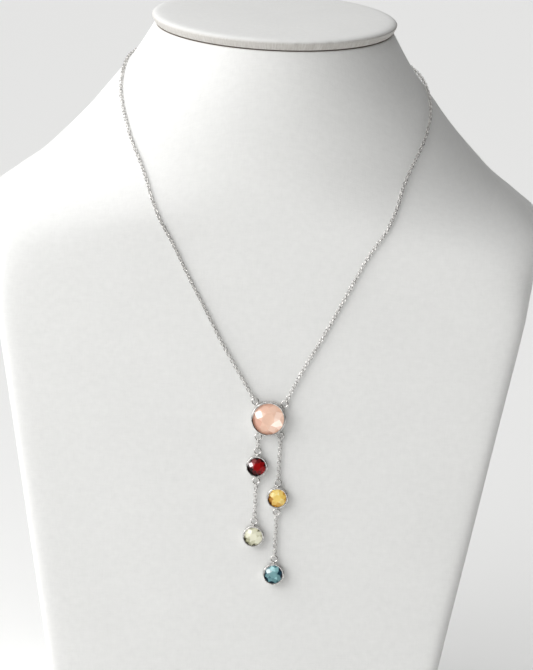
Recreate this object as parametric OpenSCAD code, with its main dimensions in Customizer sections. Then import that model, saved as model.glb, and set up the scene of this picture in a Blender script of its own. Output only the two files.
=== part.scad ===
// Gemstone necklace on a plain neck bust.
// The bust stands on its flat base. +X is to the right seen from the front, +Y to the back and +Z up.

/* [Neck bust] */
// Height from the base to the top of the neck
bust_height = 243; // [235:1:255]
// Width across the shoulders
shoulder_width = 189; // [183:1:199]
// Depth of the base in front of the widest line
front_depth = 72; // [68:1:80]
// Depth from the widest line to the flat back
back_depth = 38; // [37:1:46]
// Rounding of the edge round the base
base_edge = 1.5; // [0.5:0.5:3]
// Thickness of the oval cap on the neck
cap_thickness = 3.6; // [3:0.2:6]
// How far the cap stands out past the neck
cap_overhang = 1.2; // [0.6:0.2:2]
// Rise of the cap's middle above its edge
cap_crown = 0.6; // [0.2:0.2:2]

/* [Chain links] */
// Thickness of the link wire
link_wire = 0.3; // [0.24:0.02:0.3]
// Outer width of a link
link_width = 1.3; // [1.3:0.05:1.5]
// Outer length of a link
link_length = 1.8; // [1.7:0.05:2]
// Clearance between a link and what it hooks into
link_gap = 0.11; // [0.11:0.01:0.13]

/* [Rings and clasp] */
// Outer width of the small rings soldered to the settings and to the clasp
ring_width = 2.6; // [2.4:0.1:2.8]
// Thickness of their wire
ring_wire = 0.5; // [0.4:0.05:0.5]
// Outer width of the clasp's round body
clasp_width = 6; // [5:0.5:7]
// Thickness of the clasp's wire
clasp_wire = 1.1; // [0.9:0.1:1.3]

/* [Stones] */
// Width of the large rose quartz
main_stone_width = 10.4; // [9.6:0.1:11]
// Width of the four small stones
small_stone_width = 6.2; // [5.6:0.1:6.4]
// Height of the crown, as a share of the stone's width
crown_share = 0.17; // [0.12:0.01:0.2]
// Width of the table, as a share of the stone's width
table_share = 0.4; // [0.34:0.01:0.46]
// Height of the girdle
girdle_height = 0.4; // [0.3:0.05:0.5]

/* [Settings] */
// Thickness of the silver wall round a stone
wall_thickness = 0.42; // [0.38:0.02:0.5]
// How far the rim is pressed in over the stone
rim_lip = 0.12; // [0.1:0.02:0.2]
// Clearance between a stone and its setting
stone_gap = 0.08; // [0.06:0.01:0.1]

/* [Pendant] */
// Height of the pendant's reference point above the base
pendant_height = 96; // [90:1:100]
// Links in the short chain that carries the garnet
garnet_links = 3; // [3:2:5]
// Links in the chain below the garnet
lemon_links = 11; // [9:2:13]
// Links in the chain that carries the citrine
citrine_links = 13; // [11:2:15]
// Links in the chain below the citrine
topaz_links = 13; // [11:2:15]

/* [Hidden] */

leather = "WhiteSmoke";
silver = "Silver";

// Clearance between a piece and what it lies on
seat_gap = 0.3;

// Level sections of the bust, from the base up. The columns are the height, half width, front depth
// and back depth in percent of the full sizes, and the squareness of the front and back curve.
// A squareness of 2 is an ellipse, and more is flatter with tighter corners.
height_col = 0;
half_width_col = 1;
front_col = 2;
back_col = 3;
front_square_col = 4;
back_square_col = 5;
bust_sections = [
    [  0, 61.8, 100,  100,  40,   6],
    [ 17, 69,   89.5, 100,  40,   6],
    [ 34, 77.2, 79.5, 100,  40,   6],
    [ 51, 85.4, 69.5, 100,  40,   6],
    [ 64, 92.1, 61,   100,  28,   5],
    [ 70, 94.8, 58,   100,  14,   4.5],
    [ 74, 98.8, 55.5, 100,  6,    4],
    [ 77, 91,   54,   100,  3.2,  3.5],
    [ 80, 81.6, 52.5, 100,  2.3,  3],
    [ 83, 74.3, 51.5, 100,  2,    2.6],
    [ 87, 65.1, 51,   99.5, 2,    2.3],
    [ 91, 57.2, 50.5, 98,   2,    2.1],
    [ 95, 49.4, 50,   95.5, 2,    2],
    [100, 41.7, 49.5, 92.5, 2,    2]
];
section_scale = [bust_height / 100, shoulder_width / 200, front_depth / 100, back_depth / 100, 1, 1];
sections = [for (row = bust_sections) [for (i = [0:len(row) - 1]) row[i] * section_scale[i]]];
last_section = len(sections) - 1;
bust_sides = 72;
steps_per_section = 3;

// Chain: the centre line of a link, and the distance from one link to the next
link_line_length = link_length - link_wire;
link_line_radius = (link_width - link_wire) / 2;
link_straight = link_line_length / 2 - link_line_radius;
link_pitch = link_length - 2 * link_wire - link_gap;
link_path_points = 14;
link_sides = 6;
tube_sides = 8;
tube_steps = 4;

// Rings: the wire's centre line, and how far from a ring's middle the end of a hooked link lies
ring_line_radius = (ring_width - ring_wire) / 2;
hook_offset = ring_line_radius - (ring_wire + link_wire) / 2 - link_gap;
solder_run = 0.06;
solder_radius = 0.4;
ring_height = 0.7;
chain_height = seat_gap + link_width / 2;

// Settings: the girdle's underside is a fixed part and a share of the stone's width above the seat, and
// the rim rises another share above the girdle. The open back has a ledge for the stone.
girdle_foot = 0.6;
girdle_share = 0.1;
rim_share = 0.088;
ledge_width = 0.4;
ledge_drop = 0.35;
foot_bevel = 0.14;
girdle_clear = 0.08;
lip_slope = 0.1;
// Rim from the outside in: how far each point lies within the wall's outside, and below the top
rim_profile = [[0, 0.3], [0.06, 0.1], [0.2, 0], [0.34, 0]];
// Inner edge of the rim: how far each point lies outside the lip, and below the top
lip_profile = [[0.04, 0.12], [0, 0.2]];

// Stones
facet_fold = 8;
facet_step = 360 / facet_fold;
waist_share = 0.7;
culet_share = 0.2;
culet_height = 0.25;

// Pendant: angles at which the four rings sit on the rose quartz setting, counted from +X
ring_top_left = 131;
ring_top_right = 44;
ring_low_left = 245;
ring_low_right = 307;
rose_quartz_at = [4.6, 28];

// Route of each half of the neck chain over the bust, from the clasp to the pendant. The columns are the
// compass angle round the upright axis, with 0 at the right and 90 at the front, and the height.
compass_col = 0;
level_col = 1;
left_route = [
    [246, 231.6], [231, 231.4], [217, 231.1], [203, 230.7], [190, 230], [178, 228.6],
    [167, 224.2], [155.5, 215.7], [142.5, 200.4], [130, 184.1], [117, 164.5], [104.8, 147.4]
];
right_route = [
    [-66, 231.4], [-51, 231], [-37, 230.4], [-23, 229.6], [-9.5, 227.8], [3, 224.6],
    [13.5, 218.8], [25.4, 208.8], [37.1, 194.6], [49, 178.2], [61.2, 156.4], [71.7, 140.4]
];
clasp_angle = 270;
clasp_height = 231.6;

// Cubic blend between two rows, with slopes taken from their neighbours
function slope(rows, at, i) =
    let (before = max(i - 1, 0), after = min(i + 1, len(rows) - 1))
    (rows[after] - rows[before]) / (at[after] - at[before]);
function blended(rows, at, i, s) =
    let (h = at[i + 1] - at[i], t = (s - at[i]) / h)
    (2 * t ^ 3 - 3 * t ^ 2 + 1) * rows[i] + (t ^ 3 - 2 * t ^ 2 + t) * h * slope(rows, at, i)
    + (3 * t ^ 2 - 2 * t ^ 3) * rows[i + 1] + (t ^ 3 - t ^ 2) * h * slope(rows, at, i + 1);

// The bust's section at a height, and the depth and squareness of its front or its back curve
section_heights = [for (row = sections) row[height_col]];
function section_at(z) =
    let (i = max([for (k = [0:last_section - 1]) if (k == 0 || section_heights[k] <= z) k]))
    blended(sections, section_heights, i, z);
function depth_of(section, to_front) = to_front ? section[front_col] : section[back_col];
function square_of(section, to_front) = section[to_front ? front_square_col : back_square_col];

// A point of a section by a turn that crowds towards its corners, for the rings of the solid
function corner_point(section, turn, z) =
    let (to_front = sin(turn) >= 0, power = 2 / square_of(section, to_front))
    [
        section[half_width_col] * sign(cos(turn)) * abs(cos(turn)) ^ power,
        depth_of(section, to_front) * -sign(sin(turn)) * abs(sin(turn)) ^ power,
        z
    ];

// A point of the surface by its compass angle and height, and the direction straight out of it
function surface_point(compass, z) =
    let (
        section = section_at(z),
        to_front = sin(compass) >= 0,
        across = abs(cos(compass)) / section[half_width_col],
        along = abs(sin(compass)) / depth_of(section, to_front),
        square = square_of(section, to_front),
        radius = (across ^ square + along ^ square) ^ (-1 / square)
    )
    [radius * cos(compass), -radius * sin(compass), z];
function unit(v) = v / norm(v);
function surface_normal(compass, z) =
    let (
        d = 0.05,
        along = surface_point(compass - d, z) - surface_point(compass + d, z),
        up = surface_point(compass, z + d) - surface_point(compass, z - d)
    )
    unit(cross(along, up));

// The compass angle at which a level section lies at x, on its front or its back
function compass_at(x, z, to_front) =
    let (
        section = section_at(z),
        square = square_of(section, to_front),
        across = abs(x) / section[half_width_col],
        depth = depth_of(section, to_front) * (1 - across ^ square) ^ (1 / square),
        compass = atan2(to_front ? depth : -depth, x)
    )
    x < 0 && compass < 0 ? compass + 360 : compass;

// The widest line of the sections lies behind the origin, which is below the middle of the whole
widest_y = (section_at(base_edge)[front_col] - back_depth) / 2;

// The pendant lies on a plane that leans back with the lower chest. Its u runs to the right, its v up
// along the chest and its h out of it.
lean_reach = 32;
chest_low = surface_point(90, pendant_height - lean_reach);
chest_high = surface_point(90, pendant_height + lean_reach);
chest_lean = atan((chest_high[1] - chest_low[1]) / (2 * lean_reach));
chest_clear = 0.05;
plane_origin = (chest_low + chest_high) / 2;
plane_up = [0, sin(chest_lean), cos(chest_lean)];
plane_out = [0, -cos(chest_lean), sin(chest_lean)];
function on_plane(u, v, h) = plane_origin + u * [1, 0, 0] + v * plane_up + (chest_clear + h) * plane_out;

// Settings: outer radius from the stone's width, and the distance from the stone's middle to a ring's
function setting_radius(stone_width) = stone_width / 2 + stone_gap + wall_thickness;
function ring_distance(stone_width) = setting_radius(stone_width) + ring_width / 2 + solder_run;
function girdle_base(stone_width) = girdle_foot + girdle_share * stone_width;
function setting_height(stone_width) = girdle_base(stone_width) + girdle_height + rim_share * stone_width;
function ring_offset(stone_width, angle) = ring_distance(stone_width) * [cos(angle), sin(angle)];

// Ring to ring length of a drop chain, and the places of the stones that hang on such chains
function drop_length(links) = 2 * hook_offset + link_line_length + (links - 1) * link_pitch;
garnet_hook = rose_quartz_at + ring_offset(main_stone_width, ring_low_left);
citrine_hook = rose_quartz_at + ring_offset(main_stone_width, ring_low_right);
drop_reach = ring_distance(small_stone_width);
garnet_top = garnet_hook - [0, drop_length(garnet_links)];
garnet_at = garnet_top - [0, drop_reach];
lemon_quartz_top = garnet_at - [0, drop_reach + drop_length(lemon_links)];
lemon_quartz_at = lemon_quartz_top - [0, drop_reach];
citrine_top = citrine_hook - [0, drop_length(citrine_links)];
citrine_at = citrine_top - [0, drop_reach];
blue_topaz_top = citrine_at - [0, drop_reach + drop_length(topaz_links)];
blue_topaz_at = blue_topaz_top - [0, drop_reach];

// Triangles of a grid of points, row by row, each row a closed ring
function grid_faces(rows, columns, closed) =
    [for (i = [0:rows - (closed ? 1 : 2)]) for (j = [0:columns - 1])
        let (
            a = i * columns + j,
            b = (i + 1) % rows * columns + j,
            c = (i + 1) % rows * columns + (j + 1) % columns,
            d = i * columns + (j + 1) % columns
        )
        each [[a, b, c], [a, c, d]]];

// A closed solid through level or swept rings of points, with flat ends
module loft(rings) {
    columns = len(rings[0]);
    rows = len(rings);
    first_end = [for (j = [0:columns - 1]) j];
    last_end = [for (j = [columns - 1:-1:0]) (rows - 1) * columns + j];
    polyhedron(
        points = [for (ring = rings) each ring],
        faces = concat(grid_faces(rows, columns, false), [first_end, last_end]),
        convexity = 6
    );
}

// A ring of points round p, in the plane of two unit vectors
function ring_points(p, out, side, radius, sides) =
    [for (j = [0:sides - 1]) p + radius * (cos(360 * j / sides) * out + sin(360 * j / sides) * side)];

// Level ring of the bust, drawn in by an inset
function bust_ring(z, inset) =
    let (section = section_at(z), wide = section[half_width_col])
    [for (j = [0:bust_sides - 1])
        let (p = corner_point(section, -360 * j / bust_sides, z))
        [p[0] * (wide - inset) / wide, p[1] * (wide - inset) / wide, z]];

module bust_body() {
    heights = [for (i = [0:last_section - 1]) for (k = [0:steps_per_section - 1])
        section_heights[i] + (section_heights[i + 1] - section_heights[i]) * k / steps_per_section];
    upper = [for (z = heights) if (z > base_edge) bust_ring(z, 0)];
    color(leather) translate([0, widest_y, 0])
        loft(concat([bust_ring(0, base_edge), bust_ring(base_edge, 0)], upper, [bust_ring(bust_height, 0)]));
}

// Crowned oval cap. The columns are the height, as a share of the cap's thickness or of its crown, and the
// inset from the widest outline.
rise_col = 0;
inset_col = 1;
cap_profile = [[0, 1.2], [0.15, 0.4], [0.4, 0], [0.65, 0.1], [0.85, 0.6], [1, 1.6]];
crown_profile = [[0.6, 10], [1, 24]];
cap_sides = 48;
function cap_ring(z, inset) =
    let (top = section_at(bust_height), grow = cap_overhang - inset)
    [for (j = [0:cap_sides - 1])
        let (
            angle = 360 * j / cap_sides,
            depth = depth_of(top, sin(angle) < 0) + grow
        )
        [(top[half_width_col] + grow) * cos(angle), depth * sin(angle), z]];

module neck_cap() {
    bottom = bust_height + seat_gap;
    top = bottom + cap_thickness;
    edge = [for (row = cap_profile) cap_ring(bottom + cap_thickness * row[rise_col], row[inset_col])];
    crown = [for (row = crown_profile) cap_ring(top + cap_crown * row[rise_col], row[inset_col])];
    color(leather) translate([0, widest_y, 0]) loft(concat(edge, crown));
}

// Places children on the chest at a point of the pendant's plane, with their own Z straight out of it
module on_chest(at, lift = 0) {
    translate([0, widest_y, 0])
        translate(on_plane(at[0], at[1], seat_gap + lift)) rotate([90 - chest_lean, 0, 0]) children();
}

// Small soldered ring, lying flat
module wire_ring(width, wire) {
    rotate_extrude($fn = 48) translate([(width - wire) / 2, 0]) circle(d = wire, $fn = 24);
}

// Drop of solder between a ring and what carries it, with its seam turned away from both
module solder_joint() {
    rotate([0, 0, 90]) sphere(r = solder_radius, $fn = 32);
}

// Cup that holds a stone, with one soldered ring at each of the angles. The back is open.
module setting(stone_width, ring_angles) {
    outer = setting_radius(stone_width);
    top = setting_height(stone_width);
    ledge = stone_width / 2 - ledge_width;
    ledge_top = girdle_base(stone_width) - ledge_drop;
    inner = stone_width / 2 + stone_gap;
    inner_top = girdle_base(stone_width) + girdle_height + girdle_clear;
    lip = stone_width / 2 - rim_lip;
    foot = [[ledge, 0], [outer - foot_bevel, 0], [outer, foot_bevel]];
    rim = [for (row = rim_profile) [outer - row[0], top - row[1]]];
    lip_edge = [for (row = lip_profile) [lip + row[0], top - row[1]]];
    hollow = [[lip, inner_top + lip_slope], [inner, inner_top], [inner, ledge_top], [ledge, ledge_top]];
    color(silver) {
        rotate_extrude($fn = 96) polygon(concat(foot, rim, lip_edge, hollow));
        for (angle = ring_angles) {
            rotate([0, 0, angle]) {
                translate([ring_distance(stone_width), 0, ring_height]) wire_ring(ring_width, ring_wire);
                translate([outer + solder_run, 0, ring_height]) solder_joint();
            }
        }
    }
}

// Cut stone with its girdle's top at height 0: table, stars, kites and girdle facets above, and the
// same cut below with a small flat in place of the table
function facet_ring(radius, z, count, turn) =
    [for (k = [0:count - 1])
        let (angle = 360 * k / count + turn)
        [radius * cos(angle), radius * sin(angle), z]];
function waist_height(height, flat_share) =
    height * (1 - waist_share * cos(facet_step / 2)) / (1 - flat_share);
module cut_stone(stone_width) {
    radius = stone_width / 2;
    crown = crown_share * stone_width;
    pavilion = girdle_base(stone_width) - culet_height;
    low_waist_height = -girdle_height - waist_height(pavilion, culet_share);
    n = facet_fold;
    points = concat(
        facet_ring(radius * table_share, crown, n, 0),
        facet_ring(radius * waist_share, waist_height(crown, table_share), n, facet_step / 2),
        facet_ring(radius, 0, 2 * n, 0),
        facet_ring(radius, -girdle_height, 2 * n, 0),
        facet_ring(radius * waist_share, low_waist_height, n, facet_step / 2),
        facet_ring(radius * culet_share, -girdle_height - pavilion, n, 0)
    );
    // First point of each ring
    waist = n;
    upper = 2 * n;
    lower = 4 * n;
    low_waist = 6 * n;
    culet = 7 * n;
    crown_faces = [for (k = [0:n - 1])
        let (next = (k + 1) % n, back = (k + n - 1) % n, g = 2 * k, g1 = g + 1, g2 = (g + 2) % (2 * n))
        each [
            [k, next, waist + k],
            [k, waist + k, upper + g, waist + back],
            [waist + k, upper + g1, upper + g],
            [waist + k, upper + g2, upper + g1]
        ]];
    girdle_faces = [for (j = [0:2 * n - 1])
        let (next = (j + 1) % (2 * n))
        [lower + j, upper + j, upper + next, lower + next]];
    pavilion_faces = [for (k = [0:n - 1])
        let (next = (k + 1) % n, back = (k + n - 1) % n, g = 2 * k, g1 = g + 1, g2 = (g + 2) % (2 * n))
        each [
            [culet + k, low_waist + k, culet + next],
            [culet + k, low_waist + back, lower + g, low_waist + k],
            [low_waist + k, lower + g, lower + g1],
            [low_waist + k, lower + g1, lower + g2]
        ]];
    table_face = [for (k = [n - 1:-1:0]) k];
    culet_face = [for (k = [0:n - 1]) culet + k];
    polyhedron(
        points = points,
        faces = concat([table_face, culet_face], crown_faces, girdle_faces, pavilion_faces),
        convexity = 2
    );
}

// A stone in its setting: place, width, colour and how far its facets are turned
module stone(at, stone_width, shade, facet_turn) {
    girdle_top = girdle_base(stone_width) + girdle_height;
    color(shade) on_chest(at)
        translate([0, 0, girdle_top]) rotate([0, 0, facet_turn]) cut_stone(stone_width);
}

// One link along X, standing in the XZ plane when upright and lying in the XY plane when not
function link_path_angle(k) =
    let (half = link_path_points / 2, step = 180 / (half - 1))
    k < half ? -90 + step * k : 90 + step * (k - half);
module chain_link(upright) {
    rings = [for (k = [0:link_path_points - 1])
        let (
            angle = link_path_angle(k),
            middle = k < link_path_points / 2 ? link_straight : -link_straight,
            out = [cos(angle), sin(angle), 0]
        )
        ring_points([middle, 0, 0] + link_line_radius * out, out, [0, 0, -1], link_wire / 2, link_sides)];
    rotate([upright ? 90 : 0, 0, 0])
        polyhedron(
            points = [for (ring = rings) each ring],
            faces = grid_faces(link_path_points, link_sides, true),
            convexity = 4
        );
}

// Drop chain that hangs down the chest from the ring at a point of the pendant's plane
module drop_chain(top, links) {
    first = hook_offset + link_line_length / 2;
    color(silver) on_chest(top, ring_height)
        for (i = [0:links - 1]) {
            translate([0, -first - i * link_pitch, 0]) rotate([0, 0, 90]) chain_link(i % 2 == 0);
        }
}

// The neck chain as a tube over the bust. The ends stop short of the clasp's ring and the pendant's.
end_clear = ring_width / 2 + seat_gap;
clasp_ring_offset = clasp_width / 2 + ring_width / 2 + solder_run;
function route_start(side) =
    [compass_at(side * (clasp_ring_offset + end_clear), clasp_height, false), clasp_height];
function route_end(ring_angle, before) =
    let (
        ring = rose_quartz_at + ring_offset(main_stone_width, ring_angle),
        from = on_plane(ring[0], ring[1], seat_gap + ring_height),
        end = from + end_clear * unit(surface_point(before[compass_col], before[level_col]) - from)
    )
    [compass_at(end[0], end[2], true), end[2]];
function full_route(route, side, ring_angle) =
    concat([route_start(side)], route, [route_end(ring_angle, route[len(route) - 1])]);

module neck_chain(route) {
    last = len(route) - 1;
    at = [for (i = [0:last]) i];
    places = concat(
        [for (i = [0:last - 1]) for (k = [0:tube_steps - 1]) blended(route, at, i, i + k / tube_steps)],
        [route[last]]
    );
    out_of = [for (q = places) surface_normal(q[compass_col], q[level_col])];
    points = [for (i = [0:len(places) - 1])
        surface_point(places[i][compass_col], places[i][level_col]) + chain_height * out_of[i]];
    rings = [for (i = [0:len(points) - 1])
        let (
            along = unit(points[min(i + 1, len(points) - 1)] - points[max(i - 1, 0)]),
            out = unit(out_of[i] - (out_of[i] * along) * along)
        )
        ring_points(points[i], out, cross(along, out), link_width / 2, tube_sides)];
    color(silver) translate([0, widest_y, 0]) loft(rings);
}

module neck_chain_left() {
    neck_chain(full_route(left_route, -1, ring_top_left));
}

module neck_chain_right() {
    neck_chain(full_route(right_route, 1, ring_top_right));
}

// Plain closed clasp behind the neck, with a soldered ring at either side
module clasp() {
    normal = surface_normal(clasp_angle, clasp_height);
    middle = surface_point(clasp_angle, clasp_height) + chain_height * normal;
    back_lean = asin(normal[2]);
    color(silver) translate([0, widest_y, 0]) translate(middle) rotate([-90 + back_lean, 0, 0]) {
        wire_ring(clasp_width, clasp_wire);
        for (side = [-1, 1]) {
            translate([side * clasp_ring_offset, 0, 0]) wire_ring(ring_width, ring_wire);
            translate([side * (clasp_width / 2 + solder_run), 0, 0]) solder_joint();
        }
    }
}

module rose_quartz_setting() {
    on_chest(rose_quartz_at)
        setting(main_stone_width, [ring_top_left, ring_top_right, ring_low_left, ring_low_right]);
}

module garnet_setting() {
    on_chest(garnet_at) setting(small_stone_width, [90, 270]);
}

module citrine_setting() {
    on_chest(citrine_at) setting(small_stone_width, [90, 270]);
}

module lemon_quartz_setting() {
    on_chest(lemon_quartz_at) setting(small_stone_width, [90]);
}

module blue_topaz_setting() {
    on_chest(blue_topaz_at) setting(small_stone_width, [90]);
}

module rose_quartz() {
    stone(rose_quartz_at, main_stone_width, "MistyRose", 23);
}

module garnet() {
    stone(garnet_at, small_stone_width, "DarkRed", 29);
}

module citrine() {
    stone(citrine_at, small_stone_width, "Goldenrod", 12);
}

module lemon_quartz() {
    stone(lemon_quartz_at, small_stone_width, "LightGoldenrodYellow", 36);
}

module blue_topaz() {
    stone(blue_topaz_at, small_stone_width, "CadetBlue", 15);
}

module garnet_chain() {
    drop_chain(garnet_hook, garnet_links);
}

module lemon_quartz_chain() {
    drop_chain(garnet_at - [0, drop_reach], lemon_links);
}

module citrine_chain() {
    drop_chain(citrine_hook, citrine_links);
}

module blue_topaz_chain() {
    drop_chain(citrine_at - [0, drop_reach], topaz_links);
}

bust_body();
neck_cap();
neck_chain_left();
neck_chain_right();
clasp();
rose_quartz_setting();
garnet_setting();
citrine_setting();
lemon_quartz_setting();
blue_topaz_setting();
rose_quartz();
garnet();
citrine();
lemon_quartz();
blue_topaz();
garnet_chain();
lemon_quartz_chain();
citrine_chain();
blue_topaz_chain();
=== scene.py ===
"""Gemstone necklace on a plain neck bust: leather covers, link chains, settings and cut stones."""

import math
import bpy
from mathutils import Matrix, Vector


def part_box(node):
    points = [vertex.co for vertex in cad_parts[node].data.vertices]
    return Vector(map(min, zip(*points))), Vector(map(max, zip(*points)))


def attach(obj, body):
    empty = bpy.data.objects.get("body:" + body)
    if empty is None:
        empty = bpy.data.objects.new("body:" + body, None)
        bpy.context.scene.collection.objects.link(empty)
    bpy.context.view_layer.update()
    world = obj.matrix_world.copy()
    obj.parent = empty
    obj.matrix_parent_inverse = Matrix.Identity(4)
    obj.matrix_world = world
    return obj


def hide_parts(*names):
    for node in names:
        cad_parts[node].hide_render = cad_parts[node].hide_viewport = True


bl_info = {
    "name": "Gemstone Necklace on a Neck Bust",
    "version": (1, 0, 0),
    "blender": (4, 5, 0),
    "location": "3D View > Sidebar > Necklace",
    "description": "Dresses a neck bust in white leather with silver chains, settings and cut stones",
    "category": "Add Mesh",
}

from typing import NamedTuple

import bmesh
import bpy
import numpy as np
from bpy.props import FloatProperty, FloatVectorProperty, IntProperty, PointerProperty
from mathutils import Matrix, Vector

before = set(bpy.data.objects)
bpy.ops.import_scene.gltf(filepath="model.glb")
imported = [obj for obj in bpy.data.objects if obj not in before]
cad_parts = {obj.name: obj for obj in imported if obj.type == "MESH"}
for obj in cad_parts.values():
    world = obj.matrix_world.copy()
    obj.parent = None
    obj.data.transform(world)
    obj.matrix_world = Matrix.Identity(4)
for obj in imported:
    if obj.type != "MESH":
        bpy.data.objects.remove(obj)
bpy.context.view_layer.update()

BODY = "root"
MM = 0.001
UV_NAME = "surface"
# Ends the names of the finishes, because the solids' own plain materials have the bare names
FINISH = "_finish"

# Level sections of the bust, from the base up: height, half width, front depth and back depth in
# percent of the full sizes, then the squareness of the front and of the back curve
BUST_SECTIONS = (
    (0, 61.8, 100, 100, 40, 6),
    (17, 69, 89.5, 100, 40, 6),
    (34, 77.2, 79.5, 100, 40, 6),
    (51, 85.4, 69.5, 100, 40, 6),
    (64, 92.1, 61, 100, 28, 5),
    (70, 94.8, 58, 100, 14, 4.5),
    (74, 98.8, 55.5, 100, 6, 4),
    (77, 91, 54, 100, 3.2, 3.5),
    (80, 81.6, 52.5, 100, 2.3, 3),
    (83, 74.3, 51.5, 100, 2, 2.6),
    (87, 65.1, 51, 99.5, 2, 2.3),
    (91, 57.2, 50.5, 98, 2, 2.1),
    (95, 49.4, 50, 95.5, 2, 2),
    (100, 41.7, 49.5, 92.5, 2, 2),
)

# Compass angles round the upright axis start at the right and grow towards the front
FRONT, BACK = 90, 270
# Angles round a stone start at its right and grow towards its top
TOP, BOTTOM = 90, 270


class Half(NamedTuple):
    """One half of the neck chain, from the clasp to the large stone."""

    name: str
    side: int  # 1 on the right, -1 on the left
    ring_angle: float  # where its ring is soldered to the large stone's setting
    turn: float  # how far its links turn once they lie on the leather, in degrees
    sink: float  # how much closer to the leather they then are
    route: tuple  # compass angles, and heights in millimetres


HALVES = (
    Half("left", -1, 131, 45, 0.3 * MM, (
        (246, 231.6), (231, 231.4), (217, 231.1), (203, 230.7), (190, 230), (178, 228.6),
        (167, 224.2), (155.5, 215.7), (142.5, 200.4), (130, 184.1), (117, 164.5), (104.8, 147.4),
    )),
    Half("right", 1, 44, 0, 0.2 * MM, (
        (-66, 231.4), (-51, 231), (-37, 230.4), (-23, 229.6), (-9.5, 227.8), (3, 224.6),
        (13.5, 218.8), (25.4, 208.8), (37.1, 194.6), (49, 178.2), (61.2, 156.4), (71.7, 140.4),
    )),
)


class Drop(NamedTuple):
    """One short chain between two stones."""

    node: str
    above: str  # the stone that it hangs from
    ring_angle: float  # where its ring is soldered to that stone's setting
    below: str  # the stone that hangs from it
    links: int


DROPS = (
    Drop("garnet_chain", "rose_quartz", 245, "garnet", 3),
    Drop("lemon_quartz_chain", "garnet", BOTTOM, "lemon_quartz", 11),
    Drop("citrine_chain", "rose_quartz", 307, "citrine", 13),
    Drop("blue_topaz_chain", "citrine", BOTTOM, "blue_topaz", 13),
)
LARGE_STONE = "rose_quartz"


def ring_angles(stone):
    """Where rings are soldered to a stone's setting: for what it hangs from and what hangs from it."""
    upper = [half.ring_angle for half in HALVES] if stone == LARGE_STONE else [TOP]
    return upper + [drop.ring_angle for drop in DROPS if drop.above == stone]


def paint(red, green, blue):
    """A display colour from 0 to 255 as the linear colour that a shader takes."""
    shares = [value / 255 for value in (red, green, blue)]
    return tuple(s / 12.92 if s <= 0.04045 else ((s + 0.055) / 1.055) ** 2.4 for s in shares)


def opaque(colour):
    """A colour with full alpha, for sockets that have four values."""
    return (*colour, 1.0)


def shade(colour, factor):
    """A colour made darker or lighter, with full alpha."""
    return opaque([min(c * factor, 1) for c in colour])


class Gem(NamedTuple):
    """How one stone is cut and how it looks."""

    facet_turn: float  # turn of the cut, in degrees
    corner: tuple  # a corner's angle, half angle of its straight flanks and strength, if it has one
    seed: int  # start of the small differences between its facets
    index: float  # how strongly it bends light
    clarity: float  # how clear it is
    polish: float  # how strongly its polish mirrors
    tint: float  # how white the light is that its facets mirror
    glow: float  # how brightly its painted inner glow shows
    body_glow: float  # share of its body colour in that painted glow
    rim: float  # how much darker its girdle facets are, a painted shade from the setting
    sparkle: float  # how far the painted light of neighbouring facets differs at random
    kite: tuple  # the facet that mirrors the window, as a spot, where the window's white reflection is also painted as a glow
    shades: tuple  # its painted colours where it is darkest, shaded, lit and brightest
    spots: tuple  # spots of painted light and shade, where it looks brighter or darker
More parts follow.
